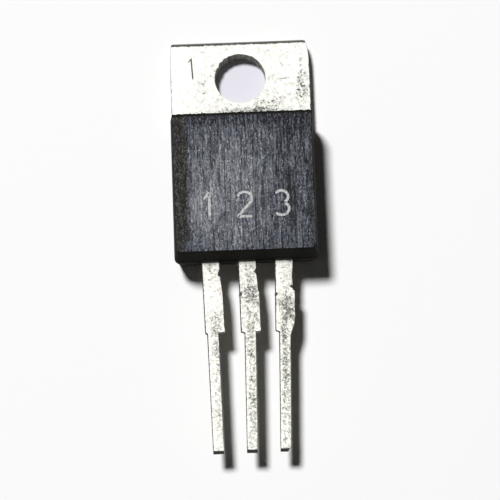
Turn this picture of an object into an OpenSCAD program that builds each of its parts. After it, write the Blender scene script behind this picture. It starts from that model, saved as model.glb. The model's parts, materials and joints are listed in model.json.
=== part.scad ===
// Power transistor in a flat plastic package: a copper flange with a mounting hole, three flat
// leads and a moulded body. It lies on its back. The origin is the mounting hole's centre on the
// back face, +Y runs to the flange's free end, -Y along the leads and +Z to the front face.

/* [Flange] */
// Width of the flange's tab
flange_w = 9.9; // [9.5:0.05:10.5]
// Thickness of the flange
flange_t = 1.3; // [1.2:0.05:1.4]
// Length of the flange from its free end to its edge inside the moulding
flange_len = 12.8; // [12.6:0.1:13]
// Diameter of the mounting hole
hole_d = 3.6; // [3.4:0.05:3.9]
// Distance from the mounting hole's centre to the free end
hole_to_end = 2.75; // [2.6:0.05:2.9]
// Length of the tab that stands out of the moulding, along its front face
tab_len = 6; // [5.9:0.05:6.3]
// Radius that the punch leaves on the tab's two long front edges
edge_roll = 0.1; // [0.04:0.02:0.16]
// Radius that the punch leaves on the free end's front edge
end_roll = 0.2; // [0.1:0.02:0.3]
// Length of the tapers at the free end's two corners
corner_cut_len = 0.9; // [0.5:0.1:1.2]
// Depth of the corner taper on the left
left_corner_cut = 0.1; // [0.05:0.05:0.3]
// Depth of the corner taper on the right
right_corner_cut = 0.25; // [0.05:0.05:0.4]
// How far the tab keeps its full width inside the moulding
neck_len = 0.6; // [0.4:0.05:0.8]
// How much narrower the pad inside the moulding is on each side
pad_in = 0.7; // [0.55:0.05:0.9]
// How far the pad's back edge is stepped in, so that the plastic wraps round it
undercut = 0.3; // [0.2:0.05:0.4]
// Height of that step
undercut_h = 0.4; // [0.3:0.05:0.5]
// Width of the moisture groove across the pad
groove_w = 0.5; // [0.3:0.05:0.6]
// Depth of the moisture groove
groove_depth = 0.2; // [0.1:0.05:0.3]
// Distance from the neck to the middle of the moisture groove
groove_at = 0.5; // [0.4:0.05:0.6]

/* [Moulding] */
// Height of the package from its back face to its front face
package_h = 4.5; // [4.3:0.05:4.7]
// How far the moulding's land stands out past the tab on each side
land_out = 0.05; // [0.02:0.01:0.1]
// How far the moulding's land reaches past the pad, towards the leads
land_reach = 3.6; // [3.5:0.05:3.8]
// Draft of the two sides, in degrees
side_draft = 5; // [3:0.5:7]
// Draft of the end over the tab, in degrees
tab_draft = 3.5; // [2:0.5:9]
// Draft of the end that the leads leave, in degrees
lead_draft = 10; // [6:0.5:14]
// Radius of the upright corners
corner_r = 0.3; // [0.15:0.05:0.5]
// Radius of the front face's edges
edge_r = 0.12; // [0.06:0.02:0.2]
// How far the plastic stands back from the flange's back face
back_recess = 0.05; // [0.02:0.01:0.1]

/* [Leads] */
// Distance between neighbouring leads
lead_pitch = 2.54; // [2.5:0.01:2.58]
// Thickness of the leads
lead_t = 0.5; // [0.4:0.05:0.6]
// Height of the leads' underside over the back face
lead_z = 2.3; // [2.1:0.05:2.5]
// Length of the leads outside the moulding
lead_len = 13.4; // [12.7:0.1:14]
// Width of a lead where it leaves the moulding
root_w = 1.22; // [1.1:0.02:1.3]
// Distance from the moulding to the cut tie bar
tie_bar_at = 2.3; // [2:0.1:2.6]
// How far the cut tie bar stands out on a lead's right
tie_bar_stub = 0.13; // [0.05:0.01:0.25]
// Distance from the moulding to the shoulders
shoulder_at = 5; // [4.5:0.05:5.4]
// Radius in the left shoulder's inner corner
shoulder_r = 0.15; // [0.05:0.01:0.2]
// Width of a lead below its shoulders
pin_w = 0.78; // [0.7:0.02:0.86]
// Width of a lead at its tip
tip_w = 0.72; // [0.6:0.02:0.8]
// How far the shears leave a tip's front edge behind its back edge
tip_rake = 0.15; // [0.05:0.05:0.3]
// How far each pin stands to the right of its lead's centre line
pin_shift = [-0.09, 0.03, 0.03]; // [-0.12:0.01:0.12]
// Lean of each lead above its shoulders, in degrees to the right
lean_top = [1.2, 0.2, -1.6]; // [-3:0.1:3]
// Lean of each pin, in degrees to the right
lean_pin = [0.9, -1, -1.7]; // [-3:0.1:3]

/* [Inside] */
// Side of the square silicon die
die_side = 2.8; // [2.4:0.1:3]
// Thickness of the die
die_t = 0.25; // [0.2:0.01:0.3]
// Thickness of the solder under the die
solder_t = 0.05; // [0.03:0.01:0.08]
// How far the solder shows round the die
solder_margin = 0.15; // [0.05:0.05:0.2]
// How far the coating reaches past the solder's corners
coating_margin = 0.3; // [0.25:0.01:0.35]
// Height of the coating over the pad
coating_h = 1; // [0.9:0.05:1.1]
// Diameter of the base's bond wire
base_wire_d = 0.25; // [0.2:0.01:0.3]
// Diameter of the emitter's bond wire
emitter_wire_d = 0.38; // [0.3:0.01:0.42]
// Length of a wire's pressed foot
foot_len = 0.45; // [0.35:0.05:0.5]
// Distance from a wire's foot to the paddle's inner edge
foot_inset = 0.1; // [0.05:0.01:0.15]
// Height of the bond wires' loop over the straight line
loop_h = 0.7; // [0.4:0.05:0.9]
// Distance from the pad to the paddles, seen from the front
paddle_gap = 0.25; // [0.15:0.05:0.35]
// Width of the bond paddles
paddle_w = 2.3; // [2:0.05:2.4]
// Length of the bond paddles
paddle_len = 1.7; // [1.6:0.05:1.8]
// Diameter of the locking hole in each paddle
lock_hole_d = 0.6; // [0.5:0.05:0.7]
// Inner radius of the collector lead's two bends
bend_r = 0.4; // [0.3:0.05:0.5]
// Slope of the collector lead between its bends, in degrees
bend_slope = 50; // [40:1:60]

/* [Hidden] */
$fn = 64;
over = 1; // what a cutter reaches past the face it cuts
edge_step = 30; // degrees between the points of a rounded edge

BASE = 0;
COLLECTOR = 1;
EMITTER = 2;

lead_top = lead_z + lead_t;
pad_w = flange_w - 2 * pad_in;
pad_end = hole_to_end - flange_len; // the flange's edge inside the moulding
body_w = flange_w + 2 * land_out;
body_end = land_reach - pad_end; // from the hole's centre to the land that the leads leave
tab_foot = hole_to_end - tab_len; // where the tab goes under the moulding
pad_start = tab_foot - neck_len;
groove_y = pad_start - groove_at;
paddle_y = pad_end - paddle_gap; // the paddles' inner edge

// Which way lead i lies from the middle one: -1 on the left and 1 on the right
function side_of(i) = i - COLLECTOR;
function lead_x(i) = side_of(i) * lead_pitch;
function reversed(v) = [for (k = [len(v) - 1 : -1 : 0]) v[k]];
function arc(centre, r, from, to) =
    [for (a = [from : edge_step : to]) centre + r * [cos(a), sin(a)]];

// The steps in the outline of lead i: distance below the moulding, left edge and right edge
function lead_edges(i) = let (
    left = -root_w / 2,
    stub = root_w / 2 + tie_bar_stub,
    pin_left = pin_shift[i] - pin_w / 2,
    pin_right = pin_shift[i] + pin_w / 2,
    tip_in = (pin_w - tip_w) / 2,
    fillet = min(shoulder_r, pin_left - left)
) [
    [0, left, root_w / 2],
    [tie_bar_at - tie_bar_stub, left, root_w / 2],
    [tie_bar_at, left, stub],
    [shoulder_at, left, stub],
    for (a = [0 : edge_step : 90])
        [shoulder_at + fillet * (1 - cos(a)), pin_left - fillet * (1 - sin(a)), pin_right],
    [lead_len, pin_left + tip_in, pin_right - tip_in]
];

// The lean of lead i at distance s below the moulding, halved between its neighbours at a bend
function lean_at(i, s) =
    s <= 0 ? 0 :
    s < shoulder_at ? lean_top[i] :
    s == shoulder_at ? (lean_top[i] + lean_pin[i]) / 2 : lean_pin[i];

// The point at distance s below the moulding and off to the right of lead i's centre line
function lead_point(i, s, off) = let (
    upper = min(s, shoulder_at),
    lower = max(s - shoulder_at, 0),
    lean = lean_at(i, s)
) [
    lead_x(i) + upper * sin(lean_top[i]) + lower * sin(lean_pin[i]) + off * cos(lean),
    -body_end - upper * cos(lean_top[i]) - lower * cos(lean_pin[i]) + off * sin(lean)
];

// The stamped outline of a lead from the moulding to its tip
module lead_outline(i) {
    edges = lead_edges(i);
    polygon([
        for (e = edges) lead_point(i, e[0], e[1]),
        for (e = reversed(edges)) lead_point(i, e[0], e[2])
    ]);
}

// What the shears take off a tip: its front edge ends short of its back edge
module tip_shear(i) {
    tip = lead_point(i, lead_len, 0);
    translate([tip[0] - root_w, tip[1], 0])
        rotate([90, 0, 90])
            linear_extrude(2 * root_w)
                polygon([
                    [0, lead_z], [tip_rake, lead_top], [tip_rake, lead_top + over],
                    [-over, lead_top + over], [-over, lead_z]
                ]);
}

// One flat lead outside the moulding
module outer_lead(i) {
    difference() {
        translate([0, 0, lead_z])
            linear_extrude(lead_t) lead_outline(i);
        tip_shear(i);
    }
}

// The inner end of a side lead: a paddle for the bond wire, pierced by a hole that the plastic
// fills
module bond_paddle(i) {
    translate([lead_x(i), 0, lead_z])
        linear_extrude(lead_t)
            difference() {
                union() {
                    translate([-paddle_w / 2, paddle_y - paddle_len])
                        square([paddle_w, paddle_len]);
                    translate([-root_w / 2, -body_end])
                        square([root_w, body_end + paddle_y - paddle_len / 2]);
                }
                translate([0, paddle_y - paddle_len + lock_hole_d])
                    circle(d = lock_hole_d);
            }
}

module side_lead(i) {
    union() {
        bond_paddle(i);
        outer_lead(i);
    }
}

module base_lead() {
    color("gainsboro") side_lead(BASE);
}

module emitter_lead() {
    color("gainsboro") side_lead(EMITTER);
}

// The tab seen from the front: its free end has tapered corners
module tab_outline() {
    half = flange_w / 2;
    cut_y = hole_to_end - corner_cut_len;
    polygon([
        [-half, pad_start], [half, pad_start], [half, cut_y],
        [half - right_corner_cut, hole_to_end], [-half + left_corner_cut, hole_to_end],
        [-half, cut_y]
    ]);
}

// The tab's section across its width, with both front edges rolled over by the punch
module tab_section() {
    half = flange_w / 2;
    polygon([
        [-half, 0], [half, 0],
        each arc([half - edge_roll, flange_t - edge_roll], edge_roll, 0, 90),
        each arc([-half + edge_roll, flange_t - edge_roll], edge_roll, 90, 180)
    ]);
}

// The tab seen from its side, with the free end's front edge rolled over
module tab_profile() {
    polygon([
        [pad_start, 0], [hole_to_end, 0],
        each arc([hole_to_end - end_roll, flange_t - end_roll], end_roll, 0, 90),
        [pad_start, flange_t]
    ]);
}

module tab() {
    intersection() {
        linear_extrude(flange_t) tab_outline();
        translate([0, hole_to_end + over, 0])
            rotate([90, 0, 0])
                linear_extrude(flange_len + 2 * over) tab_section();
        translate([-flange_w, 0, 0])
            rotate([90, 0, 90])
                linear_extrude(2 * flange_w) tab_profile();
    }
}

module mounting_hole() {
    translate([0, 0, -over])
        cylinder(d = hole_d, h = flange_t + 2 * over);
}

// The pad under the moulding: its back edge is stepped in, so that the plastic wraps round it
module pad() {
    translate([-pad_w / 2, pad_end, undercut_h])
        cube([pad_w, pad_start - pad_end, flange_t - undercut_h]);
    translate([-pad_w / 2 + undercut, pad_end + undercut, 0])
        cube([pad_w - 2 * undercut, pad_start - pad_end - undercut, flange_t]);
}

// The vee groove across the pad that keeps moisture from the die
module moisture_groove() {
    half = pad_w / 2 + over;
    translate([-half, groove_y, flange_t])
        rotate([90, 0, 90])
            linear_extrude(2 * half)
                polygon([[-groove_w / 2, 0], [0, -groove_depth], [groove_w / 2, 0], [0, over]]);
}

// The collector lead's way up from the pad to the height of the leads
rise = lead_top - flange_t;
bend_mid_r = bend_r + lead_t / 2;
ramp_len = (rise - 2 * bend_mid_r * (1 - cos(bend_slope))) / sin(bend_slope);
ramp_run = 2 * bend_mid_r * sin(bend_slope) + ramp_len * cos(bend_slope);
bend_step = bend_slope / 8;

// Its centre line as [y, z, slope]: up round the first bend and level round the second
function rise_path() = let (low = flange_t - lead_t / 2, high = lead_top - lead_t / 2) [
    [pad_end + lead_t, low, 0],
    for (a = [0 : bend_step : bend_slope])
        [pad_end - bend_mid_r * sin(a), low + bend_mid_r * (1 - cos(a)), a],
    for (a = [bend_slope : -bend_step : 0])
        [pad_end - ramp_run + bend_mid_r * sin(a), high - bend_mid_r * (1 - cos(a)), a],
    [-body_end, high, 0]
];

module collector_rise() {
    path = rise_path();
    half = lead_t / 2;
    translate([-root_w / 2, 0, 0])
        rotate([90, 0, 90])
            linear_extrude(root_w)
                polygon([
                    for (p = path) [p[0] - half * sin(p[2]), p[1] - half * cos(p[2])],
                    for (p = reversed(path)) [p[0] + half * sin(p[2]), p[1] + half * cos(p[2])]
                ]);
}

// Flange and collector lead are stamped from one strip, thick for the flange and thin for the lead
module collector_flange() {
    color("silver")
        union() {
            difference() {
                union() {
                    tab();
                    pad();
                }
                mounting_hole();
                moisture_groove();
            }
            collector_rise();
            outer_lead(COLLECTOR);
        }
}

// The die lies in the middle of the pad's free length
die_y = (groove_y - groove_w / 2 + pad_end) / 2;
die_z = flange_t + solder_t;
solder_side = die_side + 2 * solder_margin;

module square_block(side, height) {
    translate([-side / 2, die_y - side / 2, 0])
        cube([side, side, height]);
}

module die_solder() {
    color("lightslategray")
        translate([0, 0, flange_t])
            square_block(solder_side, solder_t);
}

module silicon_die() {
    color("dimgray")
        translate([0, 0, die_z])
            square_block(die_side, die_t);
}

// The domed drop over the die
coating_r = solder_side / sqrt(2) + coating_margin;
dome_r = (coating_r * coating_r + coating_h * coating_h) / (2 * coating_h);

module coating_drop() {
    half = coating_r + over;
    intersection() {
        translate([0, die_y, flange_t + coating_h - dome_r])
            sphere(r = dome_r);
        translate([-half, die_y - half, flange_t])
            cube([2 * half, 2 * half, coating_h + over]);
    }
}

module junction_coating() {
    color("whitesmoke")
        difference() {
            coating_drop();
            die_solder();
            silicon_die();
            base_wire();
            emitter_wire();
        }
}

// A bond wire runs from the die to a paddle in an upright plane. Both its feet are pressed flat:
// a foot's height and width are shares of the round wire's
wire_sides = 8;
loop_steps = 14;
foot_height = 0.6;
foot_width = 1.3;
press_end = 0.8; // where along its foot the wire starts to round out again
flat_share = cos(180 / wire_sides); // an eight-sided wire lies on a flat side

// Distance along the plan, height of the wire's underside, and whether the wire is pressed there
function wire_steps(span, low, high) = let (loop = span - 2 * foot_len) [
    [0, low, true],
    [foot_len * press_end, low, true],
    for (k = [0 : loop_steps])
        let (t = k / loop_steps, ease = t * t * (3 - 2 * t), arch = sin(180 * t))
            [foot_len + loop * t, low + (high - low) * ease + loop_h * arch * arch, false],
    [span - foot_len * press_end, high, true],
    [span, high, true]
];

module bond_wire(from, to, low, high, d) {
    span = norm(to - from);
    along = (to - from) / span;
    across = [-along[1], along[0]];
    steps = wire_steps(span, low, high);
    ring = [for (k = [0 : wire_sides - 1]) k];
    last = (len(steps) - 1) * wire_sides;
    points = [
        for (s = steps, k = ring)
            let (
                a = (k + 0.5) * 360 / wire_sides,
                wide = d / 2 * (s[2] ? foot_width : 1),
                tall = d / 2 * (s[2] ? foot_height : 1),
                plan = from + along * s[0] + across * wide * cos(a)
            ) [plan[0], plan[1], s[1] + tall * (flat_share + sin(a))]
    ];
    faces = [
        ring,
        for (r = [0 : len(steps) - 2], k = ring)
            let (a = r * wire_sides + k, b = r * wire_sides + (k + 1) % wire_sides)
                [a, a + wire_sides, b + wire_sides, b],
        [for (k = reversed(ring)) last + k]
    ];
    polyhedron(points, faces, convexity = 4);
}

// Both wires leave the die below its middle and land at their paddle's inner edge
module side_wire(i, d) {
    bond_wire(
        [side_of(i) * die_side / 4, die_y - die_side / 8],
        [lead_x(i), paddle_y - foot_inset - foot_len],
        die_z + die_t, lead_top, d
    );
}

module base_wire() {
    color("silver") side_wire(BASE, base_wire_d);
}

module emitter_wire() {
    color("silver") side_wire(EMITTER, emitter_wire_d);
}

// The moulding's outline at height z: drafted up and down from the land that holds the leads
function draft_in(z, draft) = tan(draft) * (z > lead_top ? z - lead_top : max(lead_z - z, 0));
function tab_face_y(z) = tab_foot - (z - flange_t) * tan(tab_draft);

module body_level(z, inset) {
    slab = 0.01;
    half = body_w / 2 - draft_in(z, side_draft) - inset;
    low = -body_end + draft_in(z, lead_draft) + inset;
    high = tab_face_y(z) - inset;
    translate([0, 0, min(z, package_h - slab)])
        linear_extrude(slab)
            hull()
                for (x = [-1, 1], y = [low + corner_r, high - corner_r])
                    translate([x * (half - corner_r), y])
                        circle(r = corner_r, $fn = 32);
}

module body_shape() {
    round_at = 45; // degrees round the front edge
    hull() {
        body_level(back_recess, 0);
        body_level(lead_z, 0);
        body_level(lead_top, 0);
        body_level(package_h - edge_r, 0);
        body_level(package_h - edge_r * (1 - cos(round_at)), edge_r * (1 - sin(round_at)));
        body_level(package_h, edge_r);
    }
}

// Behind the flange's front face the plastic starts where the tab narrows to the pad
module tab_clearance() {
    translate([-body_w, pad_start, -over])
        cube([2 * body_w, body_end, flange_t + over]);
}

module moulded_body() {
    color("darkslategray")
        difference() {
            body_shape();
            tab_clearance();
            collector_flange();
            base_lead();
            emitter_lead();
            die_solder();
            silicon_die();
            coating_drop();
            base_wire();
            emitter_wire();
        }
}

collector_flange();
base_lead();
emitter_lead();
die_solder();
silicon_die();
junction_coating();
base_wire();
emitter_wire();
moulded_body();
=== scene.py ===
import json
import math

import bmesh
import bpy
import numpy as np
from mathutils import Euler, Matrix, Vector, noise


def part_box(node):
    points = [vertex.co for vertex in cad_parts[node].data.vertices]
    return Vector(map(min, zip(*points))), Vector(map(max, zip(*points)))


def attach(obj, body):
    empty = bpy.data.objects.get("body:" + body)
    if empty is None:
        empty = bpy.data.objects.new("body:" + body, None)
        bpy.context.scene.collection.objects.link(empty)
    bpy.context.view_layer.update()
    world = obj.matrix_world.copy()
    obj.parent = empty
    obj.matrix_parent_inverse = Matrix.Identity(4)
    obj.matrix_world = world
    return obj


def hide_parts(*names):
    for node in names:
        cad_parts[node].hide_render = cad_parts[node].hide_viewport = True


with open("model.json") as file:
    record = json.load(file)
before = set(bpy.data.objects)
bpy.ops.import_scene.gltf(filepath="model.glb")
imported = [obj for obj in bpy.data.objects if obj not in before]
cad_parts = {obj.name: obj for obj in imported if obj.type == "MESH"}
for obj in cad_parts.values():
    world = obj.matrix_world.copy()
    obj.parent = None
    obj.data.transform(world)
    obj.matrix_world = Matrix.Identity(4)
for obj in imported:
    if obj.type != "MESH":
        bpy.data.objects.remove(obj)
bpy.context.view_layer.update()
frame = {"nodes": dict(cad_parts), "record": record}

mm = 0.001
print("frame: loaded", len(frame["nodes"]), "nodes")


def newObject(name, data):
    made = bpy.data.objects.new(name, data)
    bpy.context.scene.collection.objects.link(made)
    return made


# The camera looks down on the part as it lies on its back
camera = {
    "place": (-0.216, -53.647, 169.82),  # mm from the mounting hole
    "turn": (0.239, 0.006, -0.036),  # radians about x, y and z
    "lens": 178.8,  # mm
    "sensor": 36.0,
    "clipStart": 1.0,
}


def addCamera():
    data = bpy.data.cameras.new("camera")
    data.lens = camera["lens"]
    data.sensor_width = camera["sensor"]
    data.clip_start = camera["clipStart"] * mm
    made = newObject("camera", data)
    made.location = Vector(camera["place"]) * mm
    made.rotation_euler = Euler(camera["turn"])
    bpy.context.scene.camera = made


addCamera()
print("camera: placed")


# One socket of a node tree. Plain maths on it adds Math nodes, or Vector Math nodes on a vector
class Link:
    def __init__(self, nodes, socket):
        self.nodes = nodes
        self.socket = socket

    def calc(self, operation, *others):
        onVector = self.socket.type == "VECTOR"
        kind = "ShaderNodeVectorMath" if onVector else "ShaderNodeMath"
        given = dict(enumerate((self, *others)))
        return self.nodes.add(kind, {"operation": operation}, given)

    def __add__(self, other):
        return self.calc("ADD", other)

    def __sub__(self, other):
        return self.calc("SUBTRACT", other)

    def __mul__(self, other):
        if self.socket.type == "VECTOR" and isinstance(other, (int, float)):
            other = (other, other, other)
        return self.calc("MULTIPLY", other)

    def __truediv__(self, other):
        return self.calc("DIVIDE", other)

    def __rsub__(self, other):
        return self.nodes.add("ShaderNodeMath", {"operation": "SUBTRACT"}, {0: other, 1: self})

    __radd__ = __add__
    __rmul__ = __mul__

    def __lt__(self, other):
        return self.calc("LESS_THAN", other)

    def __gt__(self, other):
        return self.calc("GREATER_THAN", other)

    def __abs__(self):
        return self.calc("ABSOLUTE")

    def __pow__(self, other):
        return self.calc("POWER", other)

    def least(self, other):
        return self.calc("MINIMUM", other)

    def most(self, other):
        return self.calc("MAXIMUM", other)

    def within(self, low, high):
        return self.most(low).least(high)

    # 0 below low and 1 above high, with a soft or a straight way between
    def step(self, low, high, soft=True):
        way = "SMOOTHSTEP" if soft else "LINEAR"
        given = {"Value": self, "From Min": low, "From Max": high}
        return self.nodes.add("ShaderNodeMapRange", {"interpolation_type": way}, given)

    # 0 before a place and 1 past it, with a soft way to both sides
    def past(self, place, fade):
        return self.step(place - fade, place + fade)

    # The colour low where this share is 0 and high where it is 1
    def blend(self, low, high):
        low, high = (end if isinstance(end, Link) else (*end, 1) for end in (low, high))
        return self.nodes.add("ShaderNodeMix", {"data_type": "RGBA"}, {0: self, 6: low, 7: high}, out=2)


# The nodes of one tree
class Nodes:
    def __init__(self, tree):
        self.tree = tree

    def add(self, kind, settings=None, sockets=None, out=0):
        made = self.tree.nodes.new(kind)
        for name, value in (settings or {}).items():
            setattr(made, name, value)
        for key, value in (sockets or {}).items():
            if isinstance(value, Link):
                self.tree.links.new(value.socket, made.inputs[key])
            else:
                made.inputs[key].default_value = value
        return Link(self, made.outputs[out]) if made.outputs else made

    def vector(self, x, y, z):
        return self.add("ShaderNodeCombineXYZ", None, {0: x, 1: y, 2: z})

    def apart(self, vector):
        node = self.add("ShaderNodeSeparateXYZ", None, {0: vector}).socket.node
        return [Link(self, output) for output in node.outputs]

    def noise(self, at, scale=1.0, detail=2.0, rough=0.5):
        given = {"Vector": at, "Scale": scale, "Detail": detail, "Roughness": rough}
        return self.add("ShaderNodeTexNoise", None, given, out="Fac")


# A new material, its nodes and the place on the piece in mm
def newMaterial(name):
    material = bpy.data.materials.new(name)
    material.use_nodes = True
    nodes = Nodes(material.node_tree)
    place = nodes.add("ShaderNodeTexCoord", out="Object") * (1 / mm)
    return material, nodes, place


def setShader(material, links, fixed):
    tree = material.node_tree
    shader = tree.nodes["Principled BSDF"]
    for name, link in links.items():
        tree.links.new(link.socket, shader.inputs[name])
    for name, value in fixed.items():
        shader.inputs[name].default_value = value


def bump(nodes, height, distance):
    return nodes.add("ShaderNodeBump", None, {"Height": height, "Distance": distance * mm})


# A small lamp from the upper left throws the shadow. What is left of it is filled from overhead
light = {
    "keyFrom": (-0.27, 0.315, 1.0),
    "keyDistance": 1500.0,  # mm
    "keySize": 270.0,
    "keyLevel": 1.03,  # share of the plain level
    "fillHeight": 700.0,
    "fillSize": 700.0,
    "fillLevel": 0.009,
    "worldLevel": 0.014,
    "worldSeen": 1.0,
    "worldTint": (1.0, 0.97, 0.9),
    "floorSeen": (1.0, 1.0, 1.0),
    "floorBounce": (0.45, 0.44, 0.41),
    "floorSide": 600.0,
    "floorInHole": (0.80, 0.79, 0.86),  # painted shade: the paper under the mounting hole is painted darker and lavender
    "holeReach": 2.6,  # mm
    "holeFade": 0.3,
}


def addLamp(name, place, size, level):
    data = bpy.data.lights.new(name, "AREA")
    data.shape = "DISK"
    data.size = size * mm
    far = (place * mm).length
    data.energy = level * (math.pi * far) ** 2
    made = newObject(name, data)
    made.location = place * mm
    made.rotation_euler = place.to_track_quat("Z", "Y").to_euler()


# The world is white where it is seen, also in gloss and through glass, and lights the part far less
def addLights():
    toKey = Vector(light["keyFrom"]).normalized()
    addLamp("keyLamp", toKey * light["keyDistance"], light["keySize"], light["keyLevel"])
    addLamp("fillLamp", Vector((0, 0, light["fillHeight"])), light["fillSize"], light["fillLevel"])
    world = bpy.data.worlds.new("world")
    world.use_nodes = True
    nodes = Nodes(world.node_tree)
    path = nodes.add("ShaderNodeLightPath").socket.node
    seen = Link(nodes, path.outputs["Is Camera Ray"])
    for way in ("Is Glossy Ray", "Is Transmission Ray"):
        seen = seen.most(Link(nodes, path.outputs[way]))
    strength = seen * (light["worldSeen"] - light["worldLevel"]) + light["worldLevel"]
    background = world.node_tree.nodes["Background"]
    colour = seen.blend(light["worldTint"], (1.0, 1.0, 1.0))
    world.node_tree.links.new(colour.socket, background.inputs["Color"])
    world.node_tree.links.new(strength.socket, background.inputs["Strength"])
    bpy.context.scene.world = world


# The floor is white wherever it is seen, also in gloss, except under the mounting hole, where it is painted
# darker as painted shade, and it sends less light back than white would
def addFloor():
    side = light["floorSide"] * mm
    corners = [(-side, -side, 0), (side, -side, 0), (side, side, 0), (-side, side, 0)]
    mesh = bpy.data.meshes.new("floor")
    mesh.from_pydata(corners, [], [(0, 1, 2, 3)])
    material, nodes, place = newMaterial("floor")
    # Painted shade: within the hole's reach the floor takes the darker lavender colour
    fromHole = nodes.add("ShaderNodeVectorMath", {"operation": "LENGTH"}, {0: place}, out="Value")
    outside = fromHole.step(light["holeReach"] - light["holeFade"], light["holeReach"])
    seen = outside.blend(light["floorInHole"], light["floorSeen"])
    bounced = nodes.add("ShaderNodeLightPath", out="Diffuse Depth") > 0.5
    colour = bounced.blend(seen, light["floorBounce"])
    setShader(material, {"Base Color": colour}, {"Roughness": 1, "Specular IOR Level": 0})
    mesh.materials.append(material)
    newObject("floor", mesh)


addLights()
addFloor()
print("lights and floor: placed")


# Sizes that the frame gives, in mm
def boxOf(node):
    low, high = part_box(node)
    return low / mm, high / mm


def mountOf(name):
    return next(mount for mount in frame["record"]["mounts"] if mount["name"] == name)


def tipOf(name):
    return Vector(mountOf(name)["pos_m"]) / mm


def slope(degrees):
    return math.tan(math.radians(degrees))


flangeHigh = boxOf("collector_flange")[1]
bodyLow, bodyHigh = boxOf("moulded_body")
leadLow, leadHigh = boxOf("base_lead")
leadThick = leadHigh.z - leadLow.z
holeSize = mountOf("mounting_hole")["dims"]
holeRadius, flangeTop = holeSize["r_mm"], holeSize["length_mm"]


# Hot-dipped tin: bright and matt, with grey flecks and pits, dull where the press sheared it, and painted
# shade on its rolled edges
tin = {
    "bright": (0.82, 0.82, 0.785),
    "dull": (0.26, 0.26, 0.24),
    "dark": (0.045, 0.045, 0.04),
    "metallic": 0.9,
    "mottleSpan": (0.40, 0.68),  # levels of the noise between which the mottle sets in
    "pitSoftness": 0.06,
    "pitDepth": 0.85,
    "sideDark": (0.105, 0.103, 0.093),
    "sideLight": (0.36, 0.352, 0.325),
    "shearScale": (6.0, 6.0, 0.7),  # the marks of the shears run from face to face
    "shearSpan": (0.35, 0.65),
    "edgeSpan": (0.004, 0.025),  # mm below the top face where the painted shade of the rolled edge sets in
    "sideSpan": (0.09, 0.16),  # and where the sheared side takes over
    "sideDepth": 0.9,
    "fineScale": 14.0,
    "fineRough": 0.08,
    "fleckRough": 0.06,
}


# A sum of soft round patches: middle x and y, half sizes and amount
def patchSum(x, y, patches):
    total = 0.0
    for patchX, patchY, sizeX, sizeY, amount in patches:
        far = ((x - patchX) / sizeX) ** 2 + ((y - patchY) / sizeY) ** 2
        total = (1 - far).most(0.0) * amount + total
    return total


# Given x and y, one function paints shade on the edges and dark spots on the tin's top, clean says how free
# of flecks it is, and cut paints shade over all of it
def tinMaterial(name, top, flecks, edgeShadeAndSpots, clean=None, cut=None):
    material, nodes, place = newMaterial(name)
    x, y, z = nodes.apart(place)
    grain = nodes.noise(place + flecks["seed"], flecks["scale"], 3.0, 0.65)
    spread = (nodes.noise(place + (7.0, 3.0, 0.0), flecks["spreadScale"], 1.0) - 0.5) * flecks["spread"]
    spread = spread + patchSum(x, y, flecks["patches"])
    if clean:
        spread = spread - (1 - clean(x, y)) * flecks["cleanEdge"]
    limit = flecks["limit"] - spread
    fleck = (grain - limit).step(0.0, flecks["softness"])
    second = nodes.noise(place + (0.0, 9.0, 4.0), flecks["pitScale"], 2.0, 0.7)
    pit = (second - limit - flecks["pitLimit"]).step(0.0, tin["pitSoftness"])
    mottle = nodes.noise(place + (3.0, 0.0, 8.0), flecks["mottleScale"], 4.0, 0.65) + spread * 0.5
    colour = (mottle.step(*tin["mottleSpan"]) * flecks["mottle"]).blend(tin["bright"], flecks["mottled"])
    colour = (fleck * flecks["depth"]).blend(colour, tin["dull"])
    colour = (pit * tin["pitDepth"]).blend(colour, tin["dark"])
    # Painted shade on the rolled edges, and dark spots
    colour = edgeShadeAndSpots(nodes, x, y).blend(colour, tin["dark"])
    down = top - z
    shear = nodes.noise(place * tin["shearScale"], 1.0, 3.0, 0.7)
    side = shear.step(*tin["shearSpan"]).blend(tin["sideDark"], tin["sideLight"])
    # Painted shade: the rolled edge just under the top face is painted dark
    side = down.step(*tin["sideSpan"]).blend(flecks["rolled"], side)
    onSide = down.step(*tin["edgeSpan"]) * (down < flecks["thickness"] - 0.01)
    colour = (onSide * tin["sideDepth"]).blend(colour, side)
    # Painted shade at the lead's tip and painted shadow at its root
    if cut:
        colour = cut(nodes, x, y).blend(colour, tin["dark"])
    fine = nodes.noise(place, tin["fineScale"], 2.0)
    height = fine * 0.3 - fleck * 0.5 - pit
    roughness = fleck * tin["fleckRough"] + fine * tin["fineRough"] + flecks["roughness"]
    links = {"Base Color": colour, "Roughness": roughness, "Normal": bump(nodes, height, flecks["relief"])}
    setShader(material, links, {"Metallic": tin["metallic"]})
    return material


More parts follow.
